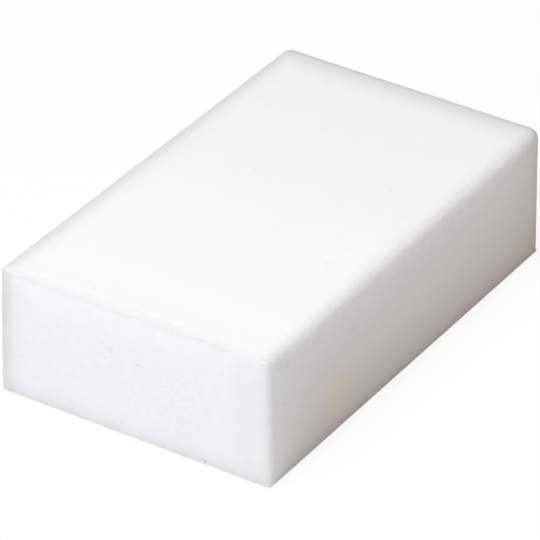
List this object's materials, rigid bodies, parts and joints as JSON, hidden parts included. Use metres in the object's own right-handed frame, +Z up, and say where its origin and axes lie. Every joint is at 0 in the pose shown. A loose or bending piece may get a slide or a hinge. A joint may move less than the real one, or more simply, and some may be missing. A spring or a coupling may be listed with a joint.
{
  "type": "cleaning sponge",
  "caption": "Rectangular block of white fine-celled melamine foam with softly rounded edges, for wiping marks off hard surfaces.",
  "frame": {"origin": "centre of the base, on the surface that the block lies on", "axes": "+X across the block to its right side, +Y along its length to the far end, +Z up through its height"},
  "size_m": [0.06, 0.1, 0.028],
  "materials": {
    "melamine_foam": "matt white open-celled foam"
  },
  "bodies": {
    "root": {"foam_block": "melamine_foam"}
  },
  "joints": []
}
